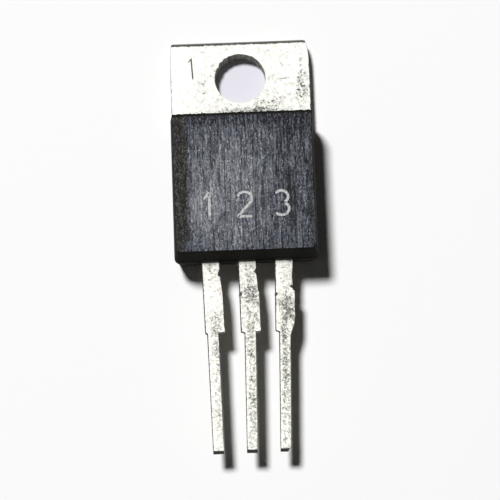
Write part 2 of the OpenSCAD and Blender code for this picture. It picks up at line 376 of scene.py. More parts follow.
leadFlecks = {
    "scale": 6.6, "limit": 0.51, "softness": 0.20, "spreadScale": 0.6, "spread": 0.12, "depth": 0.85,
    "pitLimit": 0.13, "pitScale": 9.0, "mottleScale": 4.0, "mottle": 0.65, "mottled": (0.53, 0.51, 0.45),
    "roughness": 0.84, "relief": 0.010,
    "cleanEdge": 0.06, "rolled": (0.06, 0.058, 0.053), "thickness": leadThick,
}
tabFlecks = {
    "scale": 2.8, "limit": 0.56, "softness": 0.26, "spreadScale": 0.35, "spread": 0.10, "depth": 0.55,
    "pitLimit": 0.10, "pitScale": 6.5, "mottleScale": 2.8, "mottle": 0.62, "mottled": (0.58, 0.58, 0.545),
    "roughness": 0.83, "relief": 0.006,
    "seed": (0.0, 0.0, 0.0), "rolled": (0.20, 0.19, 0.17), "thickness": flangeTop,
    "patches": [
        (4.35, -0.9, 0.7, 1.6, 0.14), (1.9, -2.0, 1.4, 0.8, 0.08), (4.5, 0.9, 0.5, 1.2, 0.10),
        (0.6, -2.5, 4.4, 0.40, 0.11), (0.9, -2.45, 1.8, 0.4, 0.03), (-2.8, -0.5, 0.7, 1.3, 0.08),
        (2.4, 1.6, 1.6, 0.9, 0.03), (-4.2, 0.2, 1.6, 4.5, -0.09),
    ],
}
tabEdgeShade = {
    "endWidth": 0.25,  # mm of painted shade on the rolled edge along the free end
    "endFade": 0.05,
    "sideWidth": 0.055,
    "sideFade": 0.03,
    "ragged": 0.24,
    "broken": 0.2,
    "depth": 0.93,
}


# Painted shade: a ragged dark band along the tab's rolled free end and its sides
def paintTabEdgeShade(nodes, x, y):
    ragged = (nodes.noise(nodes.vector(x, y, 2.0), 3.0, 3.0, 0.7) - 0.5) * tabEdgeShade["ragged"]
    broken = (nodes.noise(nodes.vector(0.0, y, 5.0), 1.6, 3.0, 0.7) - 0.5) * tabEdgeShade["broken"]
    endFrom = flangeHigh.y - tabEdgeShade["endWidth"]
    sideFrom = flangeHigh.x - tabEdgeShade["sideWidth"]
    end = (y + ragged).past(endFrom, tabEdgeShade["endFade"])
    sides = (abs(x) + ragged * 0.6 + broken).step(sideFrom, sideFrom + tabEdgeShade["sideFade"])
    return end.most(sides) * tabEdgeShade["depth"]


# The moulding compound: charcoal, its front sanded lengthwise, its sides as they left the mould
compound = {
    "side": (0.0075, 0.0075, 0.0065),
    "sideLight": (0.028, 0.028, 0.024),
    "bare": (0.020, 0.020, 0.0195),  # the front where the paper missed it
    "bareLight": (0.165, 0.165, 0.155),
    "sandedDark": (0.018, 0.019, 0.024),
    "sandedMid": (0.130, 0.139, 0.168),
    "sandedLight": (0.52, 0.52, 0.52),
    "figure": (0.70, 0.70, 0.70),
    "frontSpan": (0.035, 0.008),  # mm below the front face where the sanding sets in
    "leftStripEnd": -3.85,  # mm; the paper missed the strip to the left of this
    "leftFade": 0.2,
    "footSpan": (1.3, 0.6),  # mm from the end by the leads, where that strip narrows
    "footShift": 0.45,
    "rightStripStart": 4.5,
    "rightFade": 0.15,
    "rightDepth": 0.6,
    "headStrip": 0.22,  # and the strip beside the tab
    "headFade": 0.1,
    "headEdge": 0.21,
    "headEdgeFade": 0.03,
    "headEdgeDepth": 0.9,
    "wander": 0.35,  # mm by which those edges stray
    "ragged": 0.5,
    "lineScale": (10.0, 0.8, 1.0),  # the paper's marks are drawn out along y
    "grainScale": (11.0, 6.0, 1.0),
    "speckScale": (12.0, 4.2, 1.0),
    "pitScale": (12.0, 4.5, 1.0),
    "scratchScale": (1.7, 0.02, 1.0),
    "midSpan": (0.36, 0.54),  # levels of the noise between which a tone or mark sets in
    "lightSpan": (0.50, 0.72),
    "speckSpan": (0.59, 0.70),
    "pitSpan": (0.54, 0.65),
    "scratchSpan": (0.008, 0.028),
    "scratchedSpan": (0.46, 0.60),
    "blotchSpan": (0.67, 0.71),
    "bareSpan": (0.46, 0.70),
    "chalkSpan": (0.40, 0.54),
    "chalkLeast": 0.45,
    "lineShare": 0.42,
    "bareLineShare": 0.15,
    "toneShare": 0.16,
    "lightDepth": 0.62,
    "pitDepth": 0.6,
    "scratchDepth": 0.75,
    "figureDepth": 0.9,
    "roughness": 0.70,
    "relief": 0.012,
    "gloss": 0.03,
}
# Tone of the sanded face: middle x and y, half sizes and how much lighter
tones = [
    (-1.3, -8.8, 4.4, 5.2, 0.62), (-2.8, -10.6, 2.0, 3.0, 0.3), (3.6, -4.2, 1.9, 1.8, -0.3),
    (0.0, -3.5, 6.0, 1.1, -0.45), (1.0, -12.9, 4.5, 1.2, 0.12),
]


def compoundMaterial():
    material, nodes, place = newMaterial("mouldingCompound")
    x, y, z = nodes.apart(place)
    top = bodyHigh.z
    headEnd = bodyHigh.y - slope(body["tabDraft"]) * (top - flangeTop) - compound["headStrip"]
    wander = (nodes.noise(place * (0.0, 1.4, 0.0), 1.0, 2.0) - 0.5) * compound["wander"]
    ragged = (nodes.noise(place * (5.0, 5.0, 0.0), 1.0, 2.0) - 0.5) * compound["ragged"]
    front = z.step(*(top - below for below in compound["frontSpan"]))
    atFoot = (y * -1.0).step(*(-bodyLow.y - above for above in compound["footSpan"]))
    shifted = x + wander + ragged + atFoot * compound["footShift"]
    pastLeft = shifted.past(compound["leftStripEnd"], compound["leftFade"])
    pastRight = (x + ragged).past(compound["rightStripStart"], compound["rightFade"])
    pastHead = (y + ragged * 0.6).past(headEnd, compound["headFade"])
    sanded = front * pastLeft * (1 - pastHead) * (1 - pastRight * compound["rightDepth"])

    # Marks of the paper: long lines and short grain, with light specks, dark pits and scratches
    def marks(scale, shift):
        return nodes.noise(place * scale + shift, 1.0, 1.5, 0.7)

    line = nodes.noise(place * compound["lineScale"], 1.0, 1.0)
    grain = nodes.noise(place * compound["grainScale"], 1.0, 3.0, 0.8)
    tone = patchSum(x, y, tones) + (nodes.noise(place * (1.0, 0.6, 1.0), 0.9, 2.0) - 0.5) * 0.1
    streak = line * compound["lineShare"] + grain * (1 - compound["lineShare"])
    streak = streak + (tone - 0.3) * compound["toneShare"]
    colour = streak.step(*compound["midSpan"]).blend(compound["sandedDark"], compound["sandedMid"])
    speck = marks(compound["speckScale"], (0.0, 5.0, 0.0)).step(*compound["speckSpan"])
    lightShare = streak.step(*compound["lightSpan"]) * compound["lightDepth"]
    lightShare = lightShare + speck * (tone * 0.7 + 0.52).within(0.42, 1.0)
    colour = lightShare.blend(colour, compound["sandedLight"])
    pits = marks(compound["pitScale"], (9.0, 0.0, 0.0)).step(*compound["pitSpan"])
    colour = (pits * compound["pitDepth"]).blend(colour, compound["sandedDark"])
    scratchAt = nodes.noise(place * compound["scratchScale"], 1.0, 1.0)
    scratched = nodes.noise(place * (1.4, 0.3, 1.0) + (4.0, 0.0, 0.0)).step(*compound["scratchedSpan"])
    scratch = (1 - abs(scratchAt - 0.5).step(*compound["scratchSpan"])) * scratched
    blotch = nodes.noise(place * (1.0, 0.8, 1.0), 5.0, 2.0, 0.6).step(*compound["blotchSpan"])
    colour = (scratch.most(blotch) * compound["scratchDepth"]).blend(colour, compound["bare"])

    bare = line * compound["bareLineShare"] + grain * (1 - compound["bareLineShare"])
    bare = bare.step(*compound["bareSpan"]).blend(compound["bare"], compound["bareLight"])
    moulded = nodes.noise(place, 3.0, 3.0, 0.6).blend(compound["side"], compound["sideLight"])
    colour = sanded.blend(front.blend(moulded, bare), colour)
    edge = headEnd + compound["headStrip"] - compound["headEdge"]
    pastEdge = (y + ragged * 0.15).past(edge, compound["headEdgeFade"])
    colour = (pastEdge * compound["headEdgeDepth"]).blend(colour, compound["side"])

    # A figure's floor lies a little under the front face
    low = top - figures["depth"]
    foot, margin = figures["foot"], figures["margin"]
    inFigure = (z < low + figures["floorAbove"]) * (z > low - figures["floorBelow"])
    inFigure = inFigure * (abs(x) < leads["pitch"] + figures["height"] * 0.5)
    inFigure = inFigure * (y < foot + figures["height"] + margin) * (y > foot - margin)
    chalk = grain.step(*compound["chalkSpan"]) * (1 - compound["chalkLeast"]) + compound["chalkLeast"]
    colour = (inFigure * chalk * compound["figureDepth"]).blend(colour, compound["figure"])

    height = streak * sanded - scratch * 0.5 + nodes.noise(place, 16.0, 1.0) * 0.3
    roughness = sanded * 0.08 + compound["roughness"]
    normal = bump(nodes, height, compound["relief"])
    links = {"Base Color": colour, "Roughness": roughness, "Normal": normal}
    setShader(material, links, {"Specular IOR Level": compound["gloss"]})
    return material


tabTin = tinMaterial("tabTin", flangeTop, tabFlecks, paintTabEdgeShade)
print("tab's tin: made")


# Working meshes are in mm. A finished one is turned to metres, with its place in its mesh
mergeReach = 0.0004  # mm
sharpFrom = 32  # degrees between two faces


def tidyMesh(mesh):
    work = bmesh.new()
    work.from_mesh(mesh)
    bmesh.ops.remove_doubles(work, verts=work.verts, dist=mergeReach)
    bmesh.ops.dissolve_degenerate(work, edges=work.edges, dist=mergeReach / 4)
    bmesh.ops.recalc_face_normals(work, faces=work.faces)
    work.to_mesh(mesh)
    work.free()


# A closed mesh through rows of points: each row is a ring, and wrap joins the last row to the first
def ringMesh(name, rows, wrap=False):
    rings, around = rows.shape[:2]
    index = np.arange(rings * around).reshape(rings, around)
    if wrap:
        index = np.vstack([index, index[:1]])
    beside = np.roll(index, -1, axis=1)
    faces = np.stack([index[:-1], beside[:-1], beside[1:], index[1:]], axis=-1).reshape(-1, 4)
    mesh = bpy.data.meshes.new(name)
    mesh.from_pydata(rows.reshape(-1, 3).tolist(), [], faces.tolist())
    tidyMesh(mesh)
    return newObject(name, mesh)


# A merged copy of a CAD node in mm
def cadCopy(node):
    mesh = frame["nodes"][node].data.copy()
    mesh.transform(Matrix.Scale(1 / mm, 4))
    tidyMesh(mesh)
    return newObject(node + "Copy", mesh)


def cube(name, low, high):
    corners = [(x, y, z) for x in (low[0], high[0]) for y in (low[1], high[1]) for z in (low[2], high[2])]
    faces = [(0, 1, 3, 2), (4, 6, 7, 5), (0, 4, 5, 1), (2, 3, 7, 6), (0, 2, 6, 4), (1, 5, 7, 3)]
    mesh = bpy.data.meshes.new(name)
    mesh.from_pydata(corners, [], faces)
    return newObject(name, mesh)


def applyModifiers(piece):
    graph = bpy.context.evaluated_depsgraph_get()
    mesh = bpy.data.meshes.new_from_object(piece.evaluated_get(graph))
    piece.modifiers.clear()
    piece.data = mesh


def combine(base, other, operation):
    modifier = base.modifiers.new(operation, "BOOLEAN")
    modifier.operation = operation
    modifier.object = other
    modifier.solver = "MANIFOLD"
    applyModifiers(base)
    bpy.data.objects.remove(other)
    return base


def finishPiece(piece, name, node, materials):
    piece.name = name
    mesh = piece.data
    work = bmesh.new()
    work.from_mesh(mesh)
    for face in work.faces:
        face.smooth = True
    for edge in work.edges:
        edge.smooth = len(edge.link_faces) == 2 and edge.calc_face_angle() < math.radians(sharpFrom)
    work.to_mesh(mesh)
    work.free()
    mesh.transform(Matrix.Scale(mm, 4))
    mesh.materials.clear()
    for material in materials:
        mesh.materials.append(material)
    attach(piece, "root")
    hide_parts(node)
    print(name, "made:", len(mesh.polygons), "faces")
    return piece


# A lead outside the moulding. Its section is a rounded rectangle that changes along its length
leads = {
    "pitch": 2.54,  # mm, as all lengths here
    "bury": 0.5,  # inside the moulding
    "rootWidth": 1.22,
    "stubAt": 2.3,  # below the moulding, where the tie bar was cut off
    "stubRise": 0.15,
    "flareFrom": 0.8,
    "shoulderAt": 5.0,
    "bendRun": 0.1,
    "pinWidth": 0.78,
    "tipWidth": 0.72,
    "rake": 0.15,  # between the tip's front and back edges
    "ringStep": 0.05,
    "around": 64,
    "merge": 0.0005,
    "ovalWide": 1.3,  # how far the guiding ellipse stands out from the section
    "ovalHigh": 1.6,
    "edge": 0.03,
    "roll": 0.09,  # the left front edge, rolled by the punch
    "fillet": 0.12,
    "wearScale": 2.2,
    "tipGrime": 0.19,  # mm of painted shade at the tip
    "tipFade": 0.06,
    "edgeGrime": 0.09,
    "edgeFade": 0.04,
    # mm of the moulding's painted shadow on the root
    "rootBleed": 0.13,
    "ragged": 0.14,
    "cleanSpan": (-0.35, 0.0),  # mm from the middle where the tin's flecks set in
    "grimeDepth": 0.92,
    "cutDepth": 0.93,
}
# Leans are in degrees. A chip is its place below the moulding, its depth and its length to each side
leadSizes = {
    "base_lead": {
        "mount": "base_pin", "place": -1, "topLean": 1.2, "pinLean": 0.9, "pinShift": -0.09,
        "stub": 0.12, "flare": 0.8, "leftWear": 0.012, "rightWear": 0.03, "seed": 3.0,
        "chips": [(0.85, 0.10, 0.30), (4.9, -0.03, 0.2)], "leftChips": [], "shoulder": (0.0, 0.06),
        "spots": [(-1.95, -14.62, 0.13, 0.16, 1.4)],
        "patches": [
            (-2.55, -14.2, 0.35, 0.5, 0.08), (-2.4, -16.0, 1.2, 1.3, -0.06), (-2.3, -18.0, 0.5, 1.2, 0.06),
            (-2.2, -24, 0.4, 5, 0.015), (-2.3, -19.9, 0.6, 1.6, 0.05),
        ],
    },
    "collector_flange": {
        "mount": "collector_pin", "place": 0, "topLean": 0.2, "pinLean": -1.0, "pinShift": 0.03,
        "stub": 0.15, "flare": 0.6, "leftWear": 0.015, "rightWear": 0.035, "seed": 11.0,
        "chips": [(0.8, 0.13, 0.25), (4.8, -0.04, 0.15)],
        "leftChips": [(0.1, -0.07, 0.3), (2.4, -0.03, 0.12)],
        "shoulder": (0.0, 0.06), "spots": [(-0.60, -16.05, 0.22, 0.18, 2.2)],
        "patches": [
            (0.0, -16.1, 1.5, 1.2, 0.08), (0.07, -14.6, 0.7, 0.8, 0.04), (0.2, -17.0, 0.35, 0.4, -0.05),
            (-0.1, -18.0, 0.9, 1.3, 0.08), (0.0, -19.9, 0.5, 1.6, 0.05), (0.1, -24, 0.4, 5, 0.06),
        ],
    },
    "emitter_lead": {
        "mount": "emitter_pin", "place": 1, "topLean": -1.6, "pinLean": -1.7, "pinShift": 0.03,
        "stub": 0.13, "flare": 0.0, "leftWear": 0.012, "rightWear": 0.06, "seed": 23.0,
        "chips": [(1.95, 0.24, 0.14), (1.2, 0.05, 0.5), (13.5, 0.26, 0.45)],
        "leftChips": [(2.47, -0.03, 0.12)],
        "shoulder": (-0.9, 0.6), "spots": [(1.86, -16.12, 0.21, 0.17, 2.2)],
        "patches": [
            (2.4, -14.8, 0.9, 0.9, -0.03), (2.7, -16.9, 0.7, 1.3, 0.11), (2.2, -16.6, 0.7, 0.9, 0.07),
            (2.3, -18.4, 0.4, 1.2, 0.08), (2.4, -20.3, 0.5, 2.5, 0.09), (2.3, -25, 0.4, 4, 0.06),
            (3.0, -17.8, 0.6, 1.0, 0.065),
        ],
    },
}
chipSlots = 3


# What the tree is given for one lead: lengths in mm, leans in radians
def leadInputs(node):
    own = leadSizes[node]
    tip = tipOf(own["mount"])
    topLean, pinLean = math.radians(own["topLean"]), math.radians(own["pinLean"])
    pinHalf, tipHalf = leads["pinWidth"] / 2, leads["tipWidth"] / 2
    shoulderDrop = leads["shoulderAt"] * math.cos(topLean)
    pinDrop = bodyLow.y - shoulderDrop - tip.y - tipHalf * math.sin(abs(pinLean))
    length = leads["shoulderAt"] + pinDrop / math.cos(pinLean)
    values = {
        "Middle": own["place"] * leads["pitch"], "Root": bodyLow.y, "Under": leadLow.z,
        "Thickness": leadThick, "Length": length, "Bury": leads["bury"], "Root half": leads["rootWidth"] / 2,
        "Stub at": leads["stubAt"], "Stub rise": leads["stubRise"], "Stub": own["stub"],
        "Flare from": leads["flareFrom"], "Flare": own["flare"], "Shoulder at": leads["shoulderAt"],
        "Fillet": leads["fillet"], "Pin left": own["pinShift"] - pinHalf,
        "Pin right": own["pinShift"] + pinHalf, "Tip in": pinHalf - tipHalf, "Rake": leads["rake"],
        "Top lean": topLean, "Pin lean": pinLean, "Bend run": leads["bendRun"], "Edge": leads["edge"],
        "Roll": leads["roll"], "Left wear": own["leftWear"], "Right wear": own["rightWear"],
        "Seed": own["seed"], "Right start": leads["shoulderAt"] + own["shoulder"][0],
        "Right end": leads["shoulderAt"] + own["shoulder"][1],
        "Rings": round((length + leads["bury"]) / leads["ringStep"]), "Around": leads["around"],
        "Tin": leadTins[node],
    }
    for side, chips in (("Right", own["chips"]), ("Left", own["leftChips"])):
        for k in range(chipSlots):
            chip = chips[k] if k < len(chips) else (0.0, 0.0, 1.0)
            for part, value in zip(("at", "depth", "half"), chip):
                values[f"{side} chip {k} {part}"] = value
    return values


def buildLeadTree(names):
    tree = bpy.data.node_groups.new("outerLead", "GeometryNodeTree")
    kinds = {"Rings": "Int", "Around": "Int", "Tin": "Material"}
    for name in names:
        kind = "NodeSocket" + kinds.get(name, "Float")
        tree.interface.new_socket(name, in_out="INPUT", socket_type=kind)
    tree.interface.new_socket("Geometry", in_out="OUTPUT", socket_type="NodeSocketGeometry")
    nodes = Nodes(tree)
    group = nodes.add("NodeGroupInput").socket.node
    given = {output.name: Link(nodes, output) for output in group.outputs if output.name}
    rings = given["Rings"]

    # The grid's two directions are the way along the lead and the way round its section
    corners = {"Size X": 1.0, "Size Y": 1.0, "Vertices X": rings, "Vertices Y": given["Around"] + 1}
    grid = nodes.add("GeometryNodeMeshGrid", None, corners)
    gridX, gridY, _ = nodes.apart(nodes.add("GeometryNodeInputPosition"))
    ring = (gridX + 0.5) * (rings - 1)
    angle = (gridY + 0.5) * (2 * math.pi)
    along = ((ring - 1) / (rings - 3)).within(0.0, 1.0)
    between = (ring > 0.5) * (ring < rings - 1.5)

    # The section: a point of an ellipse is drawn in to the nearest point of a rounded rectangle
    halfX = given["Root half"]
    halfZ = given["Thickness"] * 0.5
    ovalX = angle.calc("COSINE") * halfX * leads["ovalWide"]
    ovalZ = angle.calc("SINE") * halfZ * leads["ovalHigh"]
    radius = given["Edge"] + (given["Roll"] - given["Edge"]) * (ovalX < 0.0) * (ovalZ > 0.0)
    coreX = ovalX.within(radius - halfX, halfX - radius)
    coreZ = ovalZ.within(radius - halfZ, halfZ - radius)
    outX = ovalX - coreX
    outZ = ovalZ - coreZ
    reach = (outX * outX + outZ * outZ).calc("SQRT").most(0.0001)
    sectionZ = (coreZ + radius * outZ / reach) * between
    high = sectionZ / given["Thickness"] + 0.5

    # Distance below the moulding: the shears leave the front edge behind the back edge
    below = along * (given["Length"] + given["Bury"] - given["Rake"] * high) - given["Bury"]

    stub = given["Stub"]
    stubAt = given["Stub at"]
    shoulder = given["Shoulder at"]
    nearStub = below.step(stubAt - given["Stub rise"], stubAt)
    widened = below.step(given["Flare from"], stubAt) * given["Flare"] + nearStub * (1 - given["Flare"])
    tipIn = below.step(shoulder, given["Length"], soft=False) * given["Tip in"]
    leftIn = given["Pin left"] + halfX
    rightIn = halfX + stub - given["Pin right"]
    left = leftIn * below.step(shoulder, shoulder + given["Fillet"]) - halfX + tipIn
    right = halfX + stub * widened - rightIn * below.step(given["Right start"], given["Right end"]) - tipIn

    def wear(offset, amount):
        at = nodes.vector(below * 1.6 + given["Seed"] + offset, sectionZ * 2.0, given["Seed"])
        return (nodes.noise(at, leads["wearScale"], 3.0, 0.65) - 0.5) * 2.0 * amount

    def chips(side):
        total = 0.0
        for k in range(chipSlots):
            far = abs(below - given[f"{side} chip {k} at"]) / given[f"{side} chip {k} half"]
            total = (1 - far).most(0.0) * given[f"{side} chip {k} depth"] + total
        return total

    left = left + wear(0.0, given["Left wear"]) + chips("Left")
    right = right + wear(40.0, given["Right wear"]) - chips("Right")

    half = (right - left) * 0.5
    squeeze = (half - radius) / (halfX - radius)
    off = (left + right) * 0.5 + (coreX * squeeze + radius * outX / reach) * between

    # The lead leans one way above its shoulders and another way below them
    topLean = given["Top lean"]
    pinLean = given["Pin lean"]
    inner = below.least(0.0)
    upper = below.within(0.0, shoulder)
    lower = (below - shoulder).most(0.0)
    run = given["Bend run"]
    lean = below.step(0.0, run) * topLean + below.step(shoulder - run, shoulder + run) * (pinLean - topLean)
    x = given["Middle"] + upper * topLean.calc("SINE") + lower * pinLean.calc("SINE")
    y = given["Root"] - inner - upper * topLean.calc("COSINE") - lower * pinLean.calc("COSINE")
    z = given["Under"] + halfZ + sectionZ
    place = nodes.vector(x + off * lean.calc("COSINE"), y + off * lean.calc("SINE"), z)

    shaped = nodes.add("GeometryNodeSetPosition", None, {"Geometry": grid, "Position": place})
    closed = nodes.add("GeometryNodeMergeByDistance", None, {"Geometry": shaped, "Distance": leads["merge"]})
    real = nodes.add("GeometryNodeRealizeInstances", None, {"Geometry": closed})
    done = nodes.add("GeometryNodeSetMaterial", None, {"Geometry": real, "Material": given["Tin"]})
    nodes.add("NodeGroupOutput", None, {"Geometry": done})
    return tree


# Each lead's tin is clean along its left edge, which follows the lead's two leans
def leadMaterial(node):
    own = leadSizes[node]

    def offMiddle(x, y):
        below = bodyLow.y - y
        upper = below.within(0.0, leads["shoulderAt"]) * slope(own["topLean"])
        lower = (below - leads["shoulderAt"]).most(0.0) * slope(own["pinLean"])
        return x - (lower + (upper + own["place"] * leads["pitch"]))

    def clean(x, y):
        return offMiddle(x, y).step(*leads["cleanSpan"])

    def raggedness(nodes, x, y):
        return (nodes.noise(nodes.vector(x, y, 0.0), 5.0, 2.0) - 0.5) * leads["ragged"]

    # The rolled left edge is painted dark as painted shade, and what is left of the tie bar is dark
    def leadEdgeShadeAndSpots(nodes, x, y):
        past = (bodyLow.y - leads["shoulderAt"] - y).step(0.0, leads["fillet"])
        pinIn = own["pinShift"] + (leads["rootWidth"] - leads["pinWidth"]) / 2
        edge = past * pinIn - leads["rootWidth"] / 2 + raggedness(nodes, x, y) * 0.6
        left = (edge + leads["edgeGrime"] - offMiddle(x, y)).step(0.0, leads["edgeFade"])
        return (left * leads["grimeDepth"]).most(patchSum(x, y, own["spots"]).within(0.0, 0.9))

    # The sheared tip is painted dark as painted shade of its end, and the root as the painted shadow of the
    # moulding
    def leadTipAndRootShade(nodes, x, y):
        ragged = raggedness(nodes, x, y)
        tipEnd = (tip.y + leads["tipGrime"] - y - ragged).step(0.0, leads["tipFade"])
        root = (y - bodyLow.y + leads["rootBleed"] + ragged * 0.5).step(0.0, leads["edgeFade"])
        return tipEnd.most(root) * leads["cutDepth"]

    tip = tipOf(own["mount"])
    flecks = leadFlecks | {"seed": (own["seed"], 0.0, 0.0), "patches": own["patches"]}
    return tinMaterial(node + "Tin", leadHigh.z, flecks, leadEdgeShadeAndSpots, clean, leadTipAndRootShade)


leadTins = {node: leadMaterial(node) for node in leadSizes}
leadTree = buildLeadTree(leadInputs("base_lead"))


def outerLead(node):
    holder = newObject(node + "Outer", bpy.data.meshes.new(node + "Outer"))
    modifier = holder.modifiers.new("lead", "NODES")
    modifier.node_group = leadTree
    values = leadInputs(node)
    for item in leadTree.interface.items_tree:
        if item.in_out == "INPUT":
            modifier[item.identifier] = values[item.name]
    applyModifiers(holder)
    tidyMesh(holder.data)
    return holder


# What the moulding hides keeps the CAD's shape, from 0.3 mm inside its end by the leads
hiddenFrom = bodyLow.y + 0.3
wide = 9.0  # mm, past the part to all sides but the one below
under = -1.0


def hiddenPart(node, end):
    keep = cube("keep", (-wide, hiddenFrom, under), (wide, end, wide))
    return combine(cadCopy(node), keep, "INTERSECT")


def addSideLead(node, name):
    lead = combine(hiddenPart(node, wide), outerLead(node), "UNION")
    return finishPiece(lead, name, node, [leadTins[node]])


baseLead = addSideLead("base_lead", "baseLead")
emitterLead = addSideLead("emitter_lead", "emitterLead")


# The tab is a ring round the mounting hole: its section runs over the edges, faces and hole wall
tab = {
    "columns": 540,
    "faceRings": 9,
    "crispness": 70,  # how tightly the outline turns at its corners
    "cutLength": 0.9,  # mm of taper at the free end's corners
    "leftCut": 0.10,
    "rightCut": 0.25,
    "sideRoll": 0.07,
    "endRoll": 0.20,
    "foot": 0.03,
    "holeRoll": 0.04,
    "wear": 0.012,
    "wearNoise": (2.2, 5),  # scale and seed
    "wave": 0.006,
    "waveNoise": (0.8, 2),
    "burr": 0.12,
    "burrNoise": (7, 9),
    "burrLeast": 0.15,  # share of it on the far side of the hole
    "burrAt": 120,  # degrees round the hole from +x
}


def noises(x, y, z, scale, seed):
    points = np.stack(np.broadcast_arrays(x, y, z), axis=-1).reshape(-1, 3) * scale
    values = [noise.noise(Vector(point) + Vector((seed, seed, 0))) for point in points.tolist()]
    return np.array(values).reshape(np.broadcast(x, y, z).shape)


def smooth(value, low, high):
    share = np.clip((value - low) / (high - low), 0, 1)
    return share * share * (3 - 2 * share)


# How far the tab's edge lies from the hole's centre in each direction
def tabReach(ways):
    half, end = flangeHigh.x, flangeHigh.y
    lines = [((-1, 0), half), ((1, 0), half), ((0, 1), end), ((0, -1), -neckEnd)]
    for side, cut in ((-1, tab["leftCut"]), (1, tab["rightCut"])):
        normal = np.array((side * tab["cutLength"], cut)) / math.hypot(tab["cutLength"], cut)
        lines.append((normal, normal @ (side * half, end - tab["cutLength"])))
    shares = [np.maximum(ways @ np.array(normal) / far, 0) ** tab["crispness"] for normal, far in lines]
    return sum(shares) ** (-1 / tab["crispness"])


def tabMesh():
    angles = np.arange(tab["columns"]) * 2 * math.pi / tab["columns"]
    ways = np.stack([np.cos(angles), np.sin(angles)], axis=1)
    reach = tabReach(ways)
    outline = ways * reach[:, None]
    along = np.roll(outline, -1, axis=0) - np.roll(outline, 1, axis=0)
    normals = np.stack([along[:, 1], -along[:, 0]], axis=1) / np.linalg.norm(along, axis=1)[:, None]
    slant = np.sum(normals * ways, axis=1)
    top, foot, rim = flangeTop, tab["foot"], holeRadius
    roll = tab["sideRoll"] + (tab["endRoll"] - tab["sideRoll"]) * smooth(normals[:, 1], 0.5, 0.9)
    worn = np.abs(noises(outline[:, 0], outline[:, 1], 0, *tab["wearNoise"])) * (normals[:, 1] > -0.5)
    edge = reach - tab["wear"] * worn
    burr = np.clip(np.cos(angles - math.radians(tab["burrAt"])), 0, 1)
    ragged = noises(ways[:, 0], ways[:, 1], 0, *tab["burrNoise"]) * tab["burr"] * (tab["burrLeast"] + burr)
    quarter = np.radians(np.arange(0, 91, 15))
    radii, heights = [], []

    def addRing(radius, height):
        radii.append(np.broadcast_to(radius, angles.shape))
        heights.append(np.broadcast_to(height, angles.shape))

    addRing(edge - foot / slant, 0)
    for share in (0, 0.33, 0.66):
        addRing(edge, foot + share * (top - roll - foot))
    for turn in quarter:
        addRing(edge - roll * (1 - math.cos(turn)) / slant, top - roll * (1 - math.sin(turn)))
    outer, inner = edge - roll / slant, rim + tab["holeRoll"] + ragged
    for share in np.linspace(0, 1, tab["faceRings"] + 2)[1:-1]:
        addRing(outer + (inner - outer) * smooth(share, -0.15, 1.15), top)
    lip = tab["holeRoll"]
    for turn in quarter[::2]:
        height = top - lip * (1 - math.cos(turn))
        addRing(rim + lip * (1 - math.sin(turn)) + ragged * (1 - math.sin(turn) * 0.6), height)
    for share in (0.25, 0.5, 0.75, 1.0):
        addRing(rim + ragged * 0.3 * (1 - share), top - lip + share * (foot - top + lip))
    outer, inner = edge - foot / slant, rim + foot
    addRing(inner, 0)
    for share in np.linspace(0, 1, tab["faceRings"] + 2)[1:-1]:
        addRing(inner + (outer - inner) * share, 0)
    radii, heights = np.array(radii), np.array(heights)
    x, y = radii * ways[:, 0], radii * ways[:, 1]
    heights = heights + tab["wave"] * noises(x, y, 0, *tab["waveNoise"]) * smooth(heights, top - 0.3, top)
    return ringMesh("tab", np.stack([x, y, heights], axis=-1), wrap=True)


# Grooves are cut along a line of points: wedges or flat-bottomed strips with tapered ends
groove = {
    "taper": 0.15,  # mm
    "lift": 0.05,  # by which the cutter stands out of the face
    "step": 0.06,
}


def strokeCutter(points, width, depth, top, flat=False):
    line = np.array(points, float)
    ahead = np.gradient(line, axis=0)
    across = np.stack([ahead[:, 1], -ahead[:, 0]], axis=1) / np.linalg.norm(ahead, axis=1)[:, None]
    run = np.concatenate([[0], np.cumsum(np.linalg.norm(np.diff(line, axis=0), axis=1))])
    full = np.clip(np.minimum(run, run[-1] - run) / groove["taper"], 0, 1) ** 0.5
    floor = [(1, -depth), (-1, -depth)] if flat else [(0, -depth)]
    section = [(-1, groove["lift"]), (1, groove["lift"]), *floor]
    rows = []
    for point, side, share in zip(line, across, full):
        row = []
        for off, level in section:
            half = width / 2 * share * off
            row.append((*(point + side * half), top + (level if level > 0 or flat else level * share)))
        rows.append(row)
    first, last = rows[0], rows[-1]
    if flat:
        rows = [[np.mean(first, axis=0)] * len(first), *rows, [np.mean(last, axis=0)] * len(last)]
    return ringMesh("stroke", np.array(rows, float))


def lineThrough(points):
    dense = []
    for a, b in zip(points[:-1], points[1:]):
        count = max(1, round(math.dist(a, b) / groove["step"]))
        dense += [tuple(np.array(a) + (np.array(b) - np.array(a)) * k / count) for k in range(count)]
    return dense + [points[-1]]


# The tab's stamped figure and its scratches: points in mm, width and depth
tabMarks = [
    ([(-3.70, 1.25), (-3.36, 1.66)], 0.17, 0.06),
    ([(-3.43, 1.60), (-3.42, 1.2), (-3.35, -0.02)], 0.22, 0.08),
    ([(2.74, -0.10), (3.08, -0.14), (3.68, -0.02)], 0.09, 0.04),
    ([(3.15, -1.31), (3.62, -1.30)], 0.08, 0.03),
]


# Where the tab begins, inside the moulding's foot
def findNeckEnd():
    places = [vertex.co / mm for vertex in frame["nodes"]["collector_flange"].data.vertices]
    return min(place.y for place in places if place.x > flangeHigh.x - 0.01)


